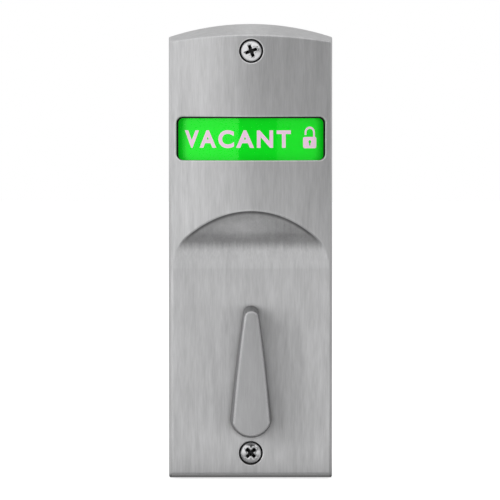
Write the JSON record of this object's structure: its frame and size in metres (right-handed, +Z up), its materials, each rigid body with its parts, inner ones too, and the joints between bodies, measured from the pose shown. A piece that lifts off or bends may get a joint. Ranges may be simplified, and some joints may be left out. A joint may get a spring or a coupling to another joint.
{
  "type": "door occupancy indicator",
  "caption": "Curved door escutcheon with a thumb turn that shows vacant or occupied in a wide window.",
  "frame": {"origin": "where the turn's axis meets the plane of the door's face", "axes": "+Z up the escutcheon, +Y into the door along the turn's axis, and the front faces -Y"},
  "size_m": [0.0508, 0.0667, 0.1412],
  "materials": {
    "satin_stainless": "satin, brushed up and down",
    "polished_stainless": "polished",
    "zinc_plated_steel": "bright zinc plating",
    "machined_steel": "turned and milled",
    "spring_steel": "oiled spring steel",
    "black_oxide_steel": "black oxide",
    "brass": "turned",
    "white_acetal": "moulded, natural",
    "black_foam": "closed-cell foam",
    "clear_polycarbonate": "clear, smooth",
    "black_moulding": "moulded",
    "green_film": "reflective green film",
    "red_film": "reflective red film"
  },
  "bodies": {
    "root": {"escutcheon_cover": "satin_stainless", "window_gasket": "black_foam", "window_lens": "clear_polycarbonate", "back_plate": "zinc_plated_steel", "back_plate_screws": "zinc_plated_steel", "mounting_screws": "polished_stainless", "front_bush": "brass", "rear_bush": "brass", "curved_washer": "spring_steel", "stop_pins": "machined_steel", "idler_post": "machined_steel", "idler_clip": "spring_steel", "guide_rail_left": "zinc_plated_steel", "guide_rail_right": "zinc_plated_steel", "rack_guide": "zinc_plated_steel", "rail_screws": "zinc_plated_steel"},
    "turn": {"turn_lever": "satin_stainless", "lever_set_screw": "black_oxide_steel", "turn_shaft": "machined_steel", "shaft_retaining_ring": "spring_steel", "thrust_washer": "white_acetal", "sector_gear": "machined_steel", "spindle_tailpiece": "machined_steel", "tailpiece_pin": "machined_steel"},
    "idler": {"idler_gear": "white_acetal"},
    "flag": {"rack_link": "zinc_plated_steel", "link_screws": "zinc_plated_steel", "flag_carrier": "black_moulding", "vacant_label": "green_film", "occupied_label": "red_film"}
  },
  "joints": [
    {"name": "turn_hinge", "type": "hinge", "parent": "root", "child": "turn", "pos_m": [0, 0, 0], "axis": [0, 1, 0], "range_deg": [0, 90]},
    {"name": "idler_spin", "type": "hinge", "parent": "root", "child": "idler", "pos_m": [0, 0, 0.0216], "axis": [0, 1, 0], "range_deg": [-72, 0]},
    {"name": "flag_slide", "type": "slide", "parent": "root", "child": "flag", "axis": [0, 0, 1], "range_m": [0, 0.01508]}
  ],
  "couplings": [
    {"joint": "idler_spin", "follows": "turn_hinge", "ratio": -0.8},
    {"joint": "flag_slide", "follows": "turn_hinge", "m_per_rad": 0.0096}
  ]
}
